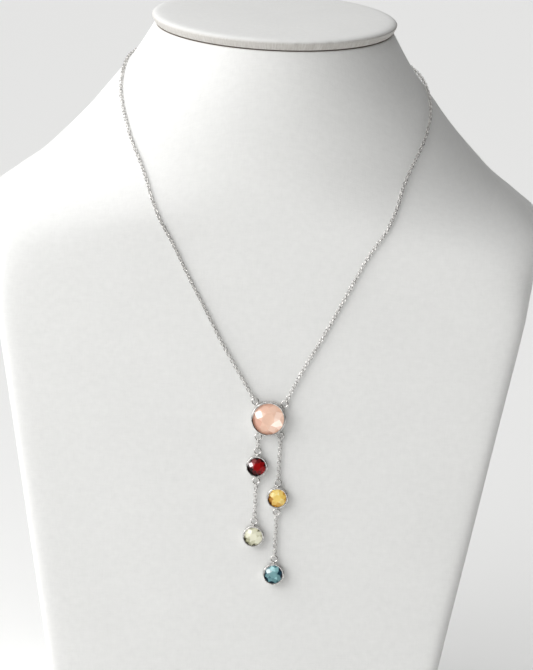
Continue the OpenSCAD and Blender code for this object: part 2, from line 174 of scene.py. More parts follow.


# A spot is an angle, the distance from the middle and the width, both as shares of the stone's
# radius, and the strength: painted light where it is positive, painted shade where it is negative
GEMS = {
    "rose_quartz": Gem(
        facet_turn=23, corner=(), seed=77,
        index=1.54, clarity=0.3, polish=2.0, tint=1.0, glow=0.4, body_glow=0.35, rim=0.14, sparkle=0.04,
        kite=(158, 0.67, 0.2, 0.85),
        shades=(paint(206, 128, 112), paint(228, 176, 156), paint(252, 224, 206), paint(255, 242, 232)),
        spots=(
            (-38, 0.62, 0.42, 0.55), (12, 0.75, 0.3, 0.35), (55, 0.75, 0.3, 0.25),
            (205, 0.8, 0.35, -0.15), (285, 0.9, 0.25, -0.15),
        ),
    ),
    "garnet": Gem(
        facet_turn=29, corner=(-88, 24, 0.8), seed=42,
        index=1.76, clarity=0.4, polish=2.2, tint=0.25, glow=0.5, body_glow=0.25, rim=0.5, sparkle=0.16,
        kite=(164, 0.67, 0.2, 1.0),
        shades=(paint(26, 2, 5), paint(96, 8, 14), paint(206, 22, 26), paint(255, 60, 60)),
        spots=(
            (-38, 0.75, 0.22, 0.75), (5, 0.6, 0.4, 0.2), (75, 0.95, 0.35, -0.4),
            (20, 1.0, 0.25, -0.4), (215, 0.9, 0.4, -0.4), (270, 0.95, 0.3, -0.25),
        ),
    ),
    "citrine": Gem(
        facet_turn=12, corner=(), seed=49,
        index=1.55, clarity=0.45, polish=2.0, tint=0.8, glow=0.3, body_glow=0.5, rim=0.2, sparkle=0.14,
        kite=(147, 0.67, 0.2, 0.1),
        shades=(paint(150, 92, 16), paint(232, 172, 62), paint(252, 238, 164), paint(255, 253, 222)),
        spots=(
            (100, 0.6, 0.35, 0.3), (-30, 0.45, 0.35, 0.25), (12, 0.95, 0.2, -0.4),
            (185, 0.85, 0.3, -0.35), (222, 0.9, 0.3, -0.55), (-80, 0.85, 0.25, -0.2),
        ),
    ),
    "lemon_quartz": Gem(
        facet_turn=36, corner=(), seed=84,
        index=1.55, clarity=0.5, polish=2.0, tint=0.9, glow=0.27, body_glow=0.7, rim=0.2, sparkle=0.16,
        kite=(126, 0.67, 0.2, 0.35),
        shades=(paint(116, 113, 88), paint(198, 196, 166), paint(244, 243, 228), paint(255, 255, 250)),
        spots=(
            (-30, 0.75, 0.3, 0.45), (150, 0.7, 0.25, 0.3), (215, 0.9, 0.3, -0.5),
            (275, 0.9, 0.25, -0.6), (50, 0.95, 0.2, -0.55),
        ),
    ),
    "blue_topaz": Gem(
        facet_turn=15, corner=(84, 22, 0.72), seed=70,
        index=1.62, clarity=0.45, polish=2.0, tint=0.6, glow=0.4, body_glow=0.4, rim=0.4, sparkle=0.18,
        kite=(143, 0.6, 0.28, 0.75),
        shades=(paint(10, 32, 66), paint(66, 120, 132), paint(170, 220, 224), paint(222, 250, 252)),
        spots=(
            (-50, 0.6, 0.3, 0.45), (60, 0.55, 0.3, 0.35), (100, 0.7, 0.35, 0.5), (5, 0.9, 0.35, -0.85),
            (190, 0.95, 0.4, -0.25), (265, 0.95, 0.3, -0.2), (45, 1.0, 0.2, -0.4),
        ),
    ),
}


def length_value(name, description, default):
    """A size that a user would change, in metres."""
    return FloatProperty(name=name, description=description, default=default, unit="LENGTH")


def angle_value(name, description, degrees):
    """An angle that a user would change, given in degrees."""
    return FloatProperty(
        name=name, description=description, default=math.radians(degrees), subtype="ANGLE")


def plain_value(name, description, default):
    """A plain number that a user would change."""
    return FloatProperty(name=name, description=description, default=default)


def colour_value(name, description, *shares):
    """A colour that a user would change, given from 0 to 255."""
    return FloatVectorProperty(
        name=name, description=description, default=paint(*shares), subtype="COLOR", min=0, max=1)


class BustSizes(bpy.types.PropertyGroup):
    """Sizes of the bust and its covers."""

    height: length_value("Height", "Base to the top of the neck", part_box("bust_body")[1].z)
    width: length_value("Shoulder width", "Width across the shoulders", 189 * MM)
    front_depth: length_value("Front depth", "Depth of the base in front of the widest line", 72 * MM)
    back_depth: length_value("Back depth", "Depth from the widest line to the flat back", 38 * MM)
    base_edge: length_value("Base edge", "Rounding round the base", 1.5 * MM)
    neck_edge: length_value("Neck edge", "Rounding round the neck's top, under the cap", 0.6 * MM)
    seam_depth: length_value("Seam depth", "Depth of the seam along the widest line", 0.35 * MM)
    seam_width: length_value("Seam width", "Half width of that seam", 0.35 * MM)
    cap_overhang: length_value("Cap overhang", "How far the cap stands out past the neck", 1.2 * MM)
    pucker_depth: length_value("Pucker depth", "Depth of the small folds in the cap's side", 0.3 * MM)
    cap_crown: length_value("Cap crown", "Rise of the cap's middle", 0.6 * MM)


class SilverSizes(bpy.types.PropertyGroup):
    """Sizes of the chain links, rings, clasp and settings."""

    link_wire: length_value("Link wire", "Thickness of the link wire", 0.3 * MM)
    link_width: length_value("Link width", "Outer width of a link", 1.3 * MM)
    link_length: length_value("Link length", "Outer length of a link", 1.8 * MM)
    link_gap: length_value("Link clearance", "Clearance of a link from what it hooks into", 0.11 * MM)
    link_roll: angle_value("Link roll", "Most that a link lies turned from upright or flat", 14)
    ring_width: length_value("Ring width", "Outer width of the soldered rings", 2.6 * MM)
    ring_wire: length_value("Ring wire", "Thickness of their wire", 0.5 * MM)
    clasp_width: length_value("Clasp width", "Outer width of the clasp", 6 * MM)
    clasp_wire: length_value("Clasp wire", "Thickness of the clasp's wire", 1.1 * MM)
    seat_gap: length_value("Seat gap", "Clearance between silver and leather", 0.3 * MM)
    wall: length_value("Setting wall", "Thickness of the wall round a stone", 0.42 * MM)
    stone_gap: length_value("Stone gap", "Clearance between a stone and its wall", 0.08 * MM)
    seed: IntProperty(name="Seed", description="Fixed start of the links' small turns", default=4)


class Finishes(bpy.types.PropertyGroup):
    """Colours of the leather, the silver and the stones' bodies."""

    leather: colour_value("Leather", "White leather", 243, 243, 241)
    seam: colour_value("Seam", "Thread in the joint under the cap", 150, 136, 126)
    # Painted shade, with slight soiling, for the cap's side
    shade_and_soil: colour_value("Shaded, soiled side", "Leather along the cap's side", 196, 192, 186)
    silver: colour_value("Silver", "Polished silver", 224, 222, 219)
    rose_quartz: colour_value("Rose quartz", "Body of the large stone", 240, 206, 184)
    garnet: colour_value("Garnet", "Body of the stone at the upper left", 150, 22, 24)
    citrine: colour_value("Citrine", "Body of the stone at the upper right", 250, 224, 132)
    lemon_quartz: colour_value("Lemon quartz", "Body of the stone at the lower left", 238, 237, 218)
    blue_topaz: colour_value("Blue topaz", "Body of the stone at the lower right", 132, 178, 182)


class StageSettings(bpy.types.PropertyGroup):
    """Camera and studio light."""

    look_at: FloatVectorProperty(
        name="Look at", description="Point in the middle of the picture", unit="LENGTH",
        default=(2.6 * MM, 16.87 * MM, 135.7 * MM))
    camera_azimuth: angle_value("Camera azimuth", "How far left of the front the camera stands", 0)
    camera_elevation: angle_value("Camera elevation", "How far the camera looks down", 18)
    camera_roll: angle_value("Camera roll", "Tilt of the picture", -2.9)
    camera_distance: length_value("Camera distance", "Distance to the point looked at", 1.13)
    camera_lens: plain_value("Focal length", "In millimetres, for a sensor 36 mm high", 178)
    key_power: plain_value("Key power", "Power of the window light in watts", 1.35)
    key_azimuth: angle_value("Key azimuth", "How far left of the front the window light stands", 57)
    key_elevation: angle_value("Key elevation", "Height of the window light", 25)
    key_distance: length_value("Key distance", "Distance of the window light", 0.6)
    key_size: length_value("Key size", "Width of the window light", 0.42)
    fill_left: plain_value("Left fill", "Light from the upper left", 1.7)
    fill_behind: plain_value("Fill from behind", "Light from the wall behind, on the left", 0.9)
    fill_above: plain_value("Ceiling fill", "Light from the ceiling", 0.2)
    fill_front: plain_value("Front card", "Light from a white card left of the camera", 0.36)
    floor_glow: plain_value("Floor glow", "Light that the white floor gives back by itself", 0.28)


def maths_operator(name, reflected=False):
    """An operator that adds a Math node, for one order of its two values."""
    def apply(wire, other):
        values = (other, wire) if reflected else (wire, other)
        return wire.board.maths(name, *values)
    return apply


class Wire:
    """A socket in an expression: each operator on it adds the Math node that works it out."""

    def __init__(self, board, socket):
        self.board = board
        self.socket = socket

    __add__, __radd__ = maths_operator("ADD"), maths_operator("ADD", reflected=True)
    __sub__, __rsub__ = maths_operator("SUBTRACT"), maths_operator("SUBTRACT", reflected=True)
    __mul__, __rmul__ = maths_operator("MULTIPLY"), maths_operator("MULTIPLY", reflected=True)
    __pow__, __rpow__ = maths_operator("POWER"), maths_operator("POWER", reflected=True)
    __mod__, __rmod__ = maths_operator("FLOORED_MODULO"), maths_operator("FLOORED_MODULO", reflected=True)


class NodeBoard:
    """A node tree that is laid out by plain statements."""

    def __init__(self, tree):
        self.tree = tree
        tree.nodes.clear()

    def add(self, kind, settings=None, inputs=None, output=0):
        """Adds a node, sets its settings first and then its sockets, and returns one output."""
        node = self.tree.nodes.new(kind)
        for name, value in (settings or {}).items():
            if name == "stops":
                self.set_stops(node.color_ramp, value)
            else:
                setattr(node, name, value)
        for key, value in (inputs or {}).items():
            if isinstance(value, Wire):
                self.tree.links.new(value.socket, node.inputs[key])
            else:
                node.inputs[key].default_value = value
        return Wire(self, node.outputs[output]) if node.outputs else node

    def set_stops(self, ramp, stops):
        """Gives a ramp its stops, as pairs of place and colour."""
        while len(ramp.elements) < len(stops):
            ramp.elements.new(1.0)
        for element, (place, colour) in zip(ramp.elements, stops):
            element.position = place
            element.color = opaque(colour)

    def maths(self, operation, *values):
        """A Math node on values or wires."""
        return self.add("ShaderNodeMath", {"operation": operation}, dict(enumerate(values)))

    def vectors(self, operation, *values, output=0):
        """A Vector Math node on vectors or wires."""
        settings = {"operation": operation}
        return self.add("ShaderNodeVectorMath", settings, dict(enumerate(values)), output)

    def scaled(self, vector, factor):
        """A vector made longer by a number."""
        return self.add("ShaderNodeVectorMath", {"operation": "SCALE"}, {0: vector, "Scale": factor})

    def mixed(self, factor, first, second):
        """A blend of two colours."""
        return self.add("ShaderNodeMix", {"data_type": "RGBA"}, {0: factor, 6: first, 7: second}, 2)

    def ramp(self, value, stops):
        """A colour picked by a value, between stops of place and colour."""
        return self.add("ShaderNodeValToRGB", {"stops": stops}, {0: value})

    def place(self):
        """Where a point lies on its piece."""
        return self.add("ShaderNodeTexCoord", output=3)

    def attribute(self, name):
        """A number that each face carries."""
        return self.add("ShaderNodeAttribute", {"attribute_name": name}, output=2)

    def noise(self, place, size):
        """Soft random cloud between 0 and 1, whose patches have a size or a width, length and height."""
        if isinstance(size, tuple):
            spot = self.vectors("MULTIPLY", place, tuple(1 / part for part in size))
        else:
            spot = self.scaled(place, 1 / size)
        return self.add("ShaderNodeTexNoise", None, {
            "Vector": spot, "Scale": 1.0, "Detail": 2.0, "Roughness": 0.5,
        })

    def bump(self, height, depth, strength=1.0):
        """A normal that stands out and in with a height."""
        return self.add("ShaderNodeBump", None, {
            "Strength": strength, "Distance": depth, "Height": height,
        })


def new_material(name):
    """A material with an empty board."""
    material = bpy.data.materials.new(name + FINISH)
    material.use_nodes = True
    return material, NodeBoard(material.node_tree)


def finish_material(board, inputs):
    """Ends a material's board in one surface shader with these sockets."""
    shader = board.add("ShaderNodeBsdfPrincipled", None, inputs)
    board.add("ShaderNodeOutputMaterial", None, {"Surface": shader})


# Half height of the thread in the joint under the cap, and the heights above it up to which the cap's
# side is wholly darkened by painted shade with slight soiling, and then darkened at all
SEAM_REACH = 0.2 * MM
SHADE_AND_SOIL_REACH = (2.4 * MM, 3.5 * MM)


def leather_material(finishes):
    """White artificial leather with a linen-like grain, painted shade with slight soiling round the cap's
    side, and dark in its joint.
    """
    material, board = new_material("white_leather")
    surface = board.add("ShaderNodeUVMap", {"uv_map": UV_NAME})
    thread_width, thread_length, thread_depth = 0.45 * MM, 3.2 * MM, 0.05 * MM
    mottle_size, cloud_size = 2.2 * MM, 26 * MM
    warp = board.noise(surface, (thread_width, thread_length, 1))
    weft = board.noise(surface, (thread_length, thread_width, 1))
    mottle = board.noise(surface, mottle_size)
    cloud = board.noise(surface, cloud_size)
    linen = (warp + weft) * 0.5
    grain = linen * 0.45 + mottle * 0.3 + cloud * 0.25
    leather = board.mixed(grain, shade(finishes.leather, 0.86), shade(finishes.leather, 1.1))

    height = board.add("ShaderNodeSeparateXYZ", None, {0: board.place()}, 2)
    joint = (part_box("bust_body")[1].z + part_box("neck_cap")[0].z) / 2
    on_cap = board.maths("GREATER_THAN", height, joint)
    full_up_to, darkened_at_all = SHADE_AND_SOIL_REACH
    fading = board.add("ShaderNodeMapRange", {"interpolation_type": "SMOOTHSTEP"}, {
        "Value": height, "From Min": joint + darkened_at_all, "From Max": joint + full_up_to,
        "To Min": 0.0, "To Max": 1.0,
    })
    # Painted shade with slight soiling along the cap's side, in fine upright streaks where its small
    # folds would shade it
    shade_and_soil = fading * on_cap * (warp * 0.9 + 0.4)
    leather = board.mixed(shade_and_soil, leather, opaque(finishes.shade_and_soil))
    thread = board.maths("LESS_THAN", board.maths("ABSOLUTE", height - joint), SEAM_REACH)
    finish_material(board, {
        "Base Color": board.mixed(thread, leather, opaque(finishes.seam)),
        "Roughness": linen * 0.2 + 0.42,
        "Specular IOR Level": 0.35,
        "Normal": board.bump(linen, thread_depth),
    })
    return material


def silver_material(finishes):
    """Polished silver with faint rub marks."""
    material, board = new_material("silver")
    rub_size, rub_depth, rub_strength = 0.6 * MM, 0.01 * MM, 0.4
    rubs = board.noise(board.place(), rub_size)
    streaks = rubs * 3.6 - 1.3
    finish_material(board, {
        "Base Color": board.mixed(streaks, shade(finishes.silver, 0.58), shade(finishes.silver, 1.3)),
        "Metallic": 1.0,
        "Roughness": rubs * 0.08 + 0.05,
        "Normal": board.bump(rubs, rub_depth, rub_strength),
    })
    return material


GEM_ROUGHNESS = 0.02
# How bright the painted white reflection of the window glows in a facet that mirrors it
KITE_WHITE = 1.3


def gem_material(name, body):
    """A clear cut stone whose facets carry painted light and shade, a painted inner glow, and how they
    mirror the window, with the window's reflection also painted as a white glow.
    """
    gem = GEMS[name]
    dark, shaded, lit, bright = gem.shades
    material, board = new_material(name)
    tone, gloss = board.attribute("tone"), board.attribute("gloss")
    # Painted light and shade: each facet's painted value picks a darkest, shaded, body, lit or brightest
    # colour
    colours = ((0.0, dark), (0.25, shaded), (0.5, body), (0.75, lit), (1.0, bright))
    # Painted glow from inside the stone, and a painted white reflection of the window on the facets that
    # mirror it
    inside = tuple(gem.body_glow * c for c in body)
    glow = ((0.2, (0, 0, 0)), (0.5, inside), (0.7, inside), (1.0, bright))
    finish_material(board, {
        "Base Color": board.ramp(tone, colours),
        "Roughness": GEM_ROUGHNESS,
        "IOR": gem.index,
        "Transmission Weight": gem.clarity,
        "Specular Tint": opaque([gem.tint] * 3),
        "Coat Weight": gloss,
        "Coat Roughness": GEM_ROUGHNESS,
        "Coat IOR": gem.polish,
        "Emission Color": board.mixed(gloss, board.ramp(tone, glow), opaque([KITE_WHITE] * 3)),
        "Emission Strength": gem.glow,
    })
    return material


def material_for(name):
    """The finish of that name, made once."""
    found = bpy.data.materials.get(name + FINISH)
    if found is not None:
        return found
    finishes = bpy.context.scene.necklace_finishes
    if name == "white_leather":
        return leather_material(finishes)
    if name == "silver":
        return silver_material(finishes)
    return gem_material(name, tuple(getattr(finishes, name)))


class BustForm:
    """The bust's surface, worked out from its level sections, in metres."""

    def __init__(self, sizes):
        scale = (
            sizes.height / 100, sizes.width / 200, sizes.front_depth / 100, sizes.back_depth / 100, 1, 1,
        )
        self.rows = np.array(BUST_SECTIONS) * scale
        self.heights = self.rows[:, 0]
        self.height = sizes.height
        self.axis_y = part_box("bust_body")[1].y - sizes.back_depth

    def section(self, z):
        """Half width, front and back depth, front and back squareness at each height."""
        return blended(self.rows, self.heights, np.asarray(z, float))[..., 1:]

    def point(self, compass, z):
        """Points of the surface by compass angle in degrees and height."""
        angle, z = np.broadcast_arrays(np.radians(compass), np.asarray(z, float))
        wide, front, back, front_square, back_square = np.moveaxis(self.section(z), -1, 0)
        to_front = np.sin(angle) >= 0
        depth = np.where(to_front, front, back)
        square = np.where(to_front, front_square, back_square)
        across = np.abs(np.cos(angle)) / wide
        along = np.abs(np.sin(angle)) / depth
        radius = (across ** square + along ** square) ** (-1 / square)
        return np.stack([radius * np.cos(angle), self.axis_y - radius * np.sin(angle), z], -1)

    def normal(self, compass, z):
        """The direction straight out of the surface, from points a little apart on it."""
        turn, rise = 0.05, 0.05 * MM
        along = self.point(compass - turn, z) - self.point(compass + turn, z)
        up = self.point(compass, z + rise) - self.point(compass, z - rise)
        return unit(np.cross(along, up))


def unit(vectors):
    """Vectors of length 1."""
    return vectors / np.linalg.norm(vectors, axis=-1, keepdims=True)


def blended(rows, at, s):
    """Cubic blend of rows at the places s, with slopes taken from the neighbours."""
    last = len(at) - 1
    i = np.clip(np.searchsorted(at, s, side="right") - 1, 0, last - 1)

    def slope(k):
        before, after = np.maximum(k - 1, 0), np.minimum(k + 1, last)
        return (rows[after] - rows[before]) / (at[after] - at[before])[..., None]

    step = (at[i + 1] - at[i])[..., None]
    t = (np.asarray(s) - at[i])[..., None] / step
    return (
        (2 * t ** 3 - 3 * t ** 2 + 1) * rows[i] + (t ** 3 - 2 * t ** 2 + t) * step * slope(i)
        + (3 * t ** 2 - 2 * t ** 3) * rows[i + 1] + (t ** 3 - t ** 2) * step * slope(i + 1)
    )


class PendantPlane:
    """The plane that the pendant lies on: u to the right, v up the chest and h out of it."""

    # Height of the plane's middle, how far up and down it touches the bust, and its gap from it
    middle_height = 96 * MM
    reach = 32 * MM
    clear = 0.05 * MM

    def __init__(self, form):
        low = form.point(FRONT, self.middle_height - self.reach)
        high = form.point(FRONT, self.middle_height + self.reach)
        lean = math.atan2(high[1] - low[1], high[2] - low[2])
        self.middle = (low + high) / 2
        self.right = np.array([1.0, 0.0, 0.0])
        self.up = np.array([0.0, math.sin(lean), math.cos(lean)])
        self.out = np.array([0.0, -math.cos(lean), math.sin(lean)])

    def place(self, u, v, h):
        """Points of space from coordinates on the plane."""
        u, v, h = (np.asarray(part, float)[..., None] for part in (u, v, h))
        return self.middle + u * self.right + v * self.up + (h + self.clear) * self.out

    def stone_seat(self, node):
        """Middle of a stone on the plane, and its width, read from its solid."""
        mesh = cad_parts[node].data
        corners = np.array([vertex.co for vertex in mesh.vertices]) - self.middle
        u, v = corners @ self.right, corners @ self.up
        return (u.min() + u.max()) / 2, (v.min() + v.max()) / 2, max(np.ptp(u), np.ptp(v))


def make_piece(name, mesh, replaced, material=None):
    """Puts a finished mesh in the scene, on its body and in place of its solids."""
    if material is not None:
        mesh.materials.clear()
        mesh.materials.append(material)
    piece = bpy.data.objects.new(name, mesh)
    bpy.context.scene.collection.objects.link(piece)
    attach(piece, BODY)
    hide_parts(*replaced)
    return piece


def mesh_from(name, points, faces):
    """A mesh of points and faces."""
    mesh = bpy.data.meshes.new(name)
    mesh.from_pydata(np.asarray(points).reshape(-1, 3).tolist(), [], faces)
    mesh.update()
    return mesh


def smooth(mesh, sharp_angle):
    """Smooth shading that keeps the edges sharper than an angle in degrees."""
    mesh.shade_smooth()
    mesh.set_sharp_from_angle(angle=math.radians(sharp_angle))


def grid_faces(rows, columns, closed_rows=False):
    """Faces between rows of points, each row a closed ring."""
    faces = []
    for i in range(rows if closed_rows else rows - 1):
        for j in range(columns):
            k = (j + 1) % columns
            m = (i + 1) % rows
            faces.append((i * columns + j, i * columns + k, m * columns + k, m * columns + j))
    return faces


# Edges sharper than this many degrees stay sharp on leather and on silver
LEATHER_CREASE, SILVER_CREASE = 50, 38
# Columns of the bust's cover in front of its seam and behind it, rows between its edges, rows of a
# rounded edge, and points by which a quarter of a section is measured
FRONT_COLUMNS, BACK_COLUMNS = 96, 44
COVER_ROWS, EDGE_ROWS, QUARTER_SAMPLES = 152, 5, 900
# Distances from the seam at which the cover has its closest columns
SEAM_STEPS = np.array((0.15, 0.35, 0.6, 1.1)) * MM


def half_ring_lengths(length_front, length_back):
    """Arc lengths from the front centre at which the right half of a ring has its columns."""
    margin = SEAM_STEPS[-1]
    front = np.linspace(0, length_front - margin, FRONT_COLUMNS)
    before = length_front - SEAM_STEPS[-2::-1]
    after = length_front + SEAM_STEPS[:-1]
    back = np.linspace(length_front + margin, length_front + length_back, BACK_COLUMNS)
    return np.concatenate([front, before, [length_front], after, back])


def cover_levels(sizes):
    """Heights of the bust cover's rings, and how far each is drawn in by a rounded edge."""
    base, neck, top = sizes.base_edge, sizes.neck_edge, sizes.height
    bend = np.radians(np.linspace(0, 90, EDGE_ROWS))
    low = [(base * (1 - math.cos(a)), base * (1 - math.sin(a))) for a in bend]
    high = [(top - neck * (1 - math.sin(a)), neck * (1 - math.cos(a))) for a in bend]
    middle = [(z, 0.0) for z in np.linspace(base, top - neck, COVER_ROWS + 2)[1:-1]]
    return low + middle + high


def bust_cover_mesh(sizes, form):
    """Leather cover of the bust, a closed surface with rounded edges and a seam at its widest line."""
    quarter = np.linspace(0, 90, QUARTER_SAMPLES)
    compass = np.concatenate([FRONT - quarter, -quarter[1:]])
    rows, lengths = [], []
    for z, inset in cover_levels(sizes):
        line = form.point(compass, z)
        wide = float(form.section(z)[0])
        draw_in = (wide - inset) / wide
        line[:, 0] *= draw_in
        line[:, 1] = form.axis_y + (line[:, 1] - form.axis_y) * draw_in
        run = run_along(line)
        length_front = run[QUARTER_SAMPLES - 1]
        wanted = half_ring_lengths(length_front, run[-1] - length_front)
        row = np.stack([np.interp(wanted, run, line[:, k]) for k in range(3)], -1)
        from_seam = wanted - length_front
        row[:, 0] -= sizes.seam_depth * np.exp(-(from_seam / sizes.seam_width) ** 2)
        rows.append(row)
        lengths.append(wanted)
    right, lengths = np.array(rows), np.array(lengths)
    left = right[:, :0:-1] * (-1, 1, 1)
    points = np.concatenate([left, right[:, :-1]], 1)
    across = np.concatenate([-lengths[:, ::-1], lengths[:, 1:]], 1)
    return closed_cover("bust_cover", points, across)


def closed_cover(name, points, across):
    """A closed surface through rings of points, with its surface lengths as UVs."""
    count_rows, columns = points.shape[:2]
    faces = grid_faces(count_rows, columns)
    faces.append(tuple(range(columns - 1, -1, -1)))
    faces.append(tuple((count_rows - 1) * columns + j for j in range(columns)))
    mesh = mesh_from(name, points, faces)
    climb = np.linalg.norm(np.diff(points, axis=0), axis=2)
    upward = np.concatenate([np.zeros((1, columns)), np.cumsum(climb, 0)])
    upward = np.concatenate([upward, upward[:, :1]], 1)
    corners = []
    for i in range(count_rows - 1):
        for j in range(columns):
            corners += [(i, j), (i, j + 1), (i + 1, j + 1), (i + 1, j)]
    rows, places = np.array(corners).T
    sides = np.stack([across[rows, places], upward[rows, places]], -1)
    ends = np.concatenate([points[0, ::-1, :2], points[-1, :, :2]])
    layer = mesh.uv_layers.new(name=UV_NAME)
    layer.uv.foreach_set("vector", np.concatenate([sides, ends]).ravel())
    smooth(mesh, LEATHER_CREASE)
    return mesh


CAP_COLUMNS = 480
# The cap's side from below: share of its thickness, and inset in millimetres
CAP_SIDE = (
    (0, 2.2), (0.01, 1.5), (0.06, 1.22), (0.14, 1.0), (0.26, 0.72), (0.4, 0.42), (0.52, 0.2),
    (0.62, 0.05), (0.68, 0), (0.74, 0.06), (0.8, 0.24), (0.86, 0.52), (0.92, 0.95), (0.97, 1.55),
)
# The cap's top from its rim to its middle: share of the crown's rise, and inset in millimetres
CAP_TOP = (
    (0, 2.3), (0.1, 3), (0.18, 3.8), (0.26, 5), (0.38, 7), (0.5, 9), (0.72, 14), (0.88, 20), (0.97, 27),
    (1, 34),
)
# Small folds in the cap's side, where the leather bunches: compass angle, width in degrees and depth
CAP_FOLDS = (
    (84, 1.1, 0.5), (78, 1.4, 0.8), (70, 1.0, 0.6), (62, 1.6, 1.0), (57, 0.9, 0.7),
    (49, 1.2, 0.8), (40, 1.0, 0.6), (118, 1.3, 0.4), (146, 1.1, 0.4),
)


def cap_cover_mesh(sizes, form):
    """Leather-covered oval cap: a soft top edge, and a side that turns in below it."""
    low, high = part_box("neck_cap")
    bottom, top = low.z, high.z - sizes.cap_crown
    thick = top - bottom
    levels = [(bottom + thick * rise, inset * MM, rise) for rise, inset in CAP_SIDE]
    levels += [(top + sizes.cap_crown * rise, inset * MM, 1.0) for rise, inset in CAP_TOP]
    wide, front, back = form.section(form.height)[:3]
    angle = np.radians(BACK - np.arange(CAP_COLUMNS) * 360 / CAP_COLUMNS)
    folds = cap_folds(np.degrees(angle))
    rows, across = [], []
    for z, inset, rise in levels:
        fold_depth = math.sin(math.pi * rise) * sizes.pucker_depth
        grow = sizes.cap_overhang - inset + fold_depth * folds
        depth = np.where(np.sin(angle) >= 0, front, back) + grow
        x, y = (wide + grow) * np.cos(angle), form.axis_y - depth * np.sin(angle)
        rows.append(np.stack([x, y, np.full(CAP_COLUMNS, z)], -1))
        run = (angle[0] - angle) * (wide + front) / 2
        across.append(np.append(run, run[-1] + run[1]))
    return closed_cover("cap_cover", np.array(rows), np.array(across))


def cap_folds(compass):
    """Depth of the cap's small folds, between 0 and -1, at compass angles."""
    depth = np.zeros_like(compass)
    for middle, width, share in CAP_FOLDS:
        depth = depth - share * np.exp(-((compass - middle) / width) ** 2)
    return depth


# Points round a link, and round its wire
LINK_POINTS, WIRE_POINTS = 14, 6


def input_socket(tree, name, kind, value=None):
    """Adds a named input to a node tree and returns its identifier."""
    socket = tree.interface.new_socket(name, in_out="INPUT", socket_type=kind)
    if value is not None:
        socket.default_value = value
    return socket.identifier


def link_chain_tree():
    """Geometry Nodes that string links along a guide line: every other link stands upright."""
    tree = bpy.data.node_groups.new("link_chain", "GeometryNodeTree")
    board = NodeBoard(tree)
    names = {
        "Guide": ("NodeSocketGeometry", None), "Links": ("NodeSocketInt", 3),
        "Wire": ("NodeSocketFloat", 0.3 * MM), "Width": ("NodeSocketFloat", 1.3 * MM),
        "Length": ("NodeSocketFloat", 1.8 * MM), "Roll": ("NodeSocketFloat", 0.0),
        "Seed": ("NodeSocketInt", 0), "Finish": ("NodeSocketMaterial", None),
    }
    identifiers = {name: input_socket(tree, name, *spec) for name, spec in names.items()}
    tree.interface.new_socket("Chain", in_out="OUTPUT", socket_type="NodeSocketGeometry")
    group = board.add("NodeGroupInput")
    given = {name: Wire(board, group.socket.node.outputs[name]) for name in names}

    line = board.add("GeometryNodeMeshToCurve", None, {"Mesh": given["Guide"]})
    stations = board.add(
        "GeometryNodeResampleCurve", {"mode": "COUNT"}, {"Curve": line, "Count": given["Links"]})
    along = board.add("GeometryNodeInputTangent")
    outward = board.add(
        "GeometryNodeInputNamedAttribute", {"data_type": "FLOAT_VECTOR"}, {"Name": "out"})
    facing = board.add(
        "FunctionNodeAxesToRotation", {"primary_axis": "X", "secondary_axis": "Z"},
        {"Primary Axis": along, "Secondary Axis": outward})
    index = board.add("GeometryNodeInputIndex")
    upright = 1 - index % 2
    roll = board.add(
        "FunctionNodeRandomValue", {"data_type": "FLOAT"},
        {2: given["Roll"] * -1, 3: given["Roll"], "ID": index, "Seed": given["Seed"]}, 1)
    turn = board.add("ShaderNodeCombineXYZ", None, {0: upright * (math.pi / 2) + roll})
    turned = board.add(
        "FunctionNodeRotateRotation", {"rotation_space": "LOCAL"},
        {"Rotation": facing, "Rotate By": board.add("FunctionNodeEulerToRotation", None, {0: turn})})

    reach = (given["Width"] - given["Wire"]) * 0.5
    straight = (given["Length"] - given["Wire"]) * 0.5 - reach
    path = board.add(
        "GeometryNodeCurvePrimitiveCircle", None, {"Resolution": LINK_POINTS, "Radius": reach})
    spot = board.add("ShaderNodeSeparateXYZ", None, {0: board.add("GeometryNodeInputPosition")})
    pull = board.maths("SIGN", spot) * straight
    path = board.add(
        "GeometryNodeSetPosition", None,
        {"Geometry": path, "Offset": board.add("ShaderNodeCombineXYZ", None, {0: pull})})
    wire = board.add(
        "GeometryNodeCurvePrimitiveCircle", None,
        {"Resolution": WIRE_POINTS, "Radius": given["Wire"] * 0.5})
    link = board.add("GeometryNodeCurveToMesh", None, {"Curve": path, "Profile Curve": wire})
    strung = board.add(
        "GeometryNodeInstanceOnPoints", None,
        {"Points": stations, "Instance": link, "Rotation": turned})
    solid = board.add("GeometryNodeRealizeInstances", None, {"Geometry": strung})
    solid = board.add("GeometryNodeSetShadeSmooth", None, {"Geometry": solid})
    solid = board.add(
        "GeometryNodeSetMaterial", None, {"Geometry": solid, "Material": given["Finish"]})
    board.add("NodeGroupOutput", None, {"Chain": solid})
    return tree, identifiers


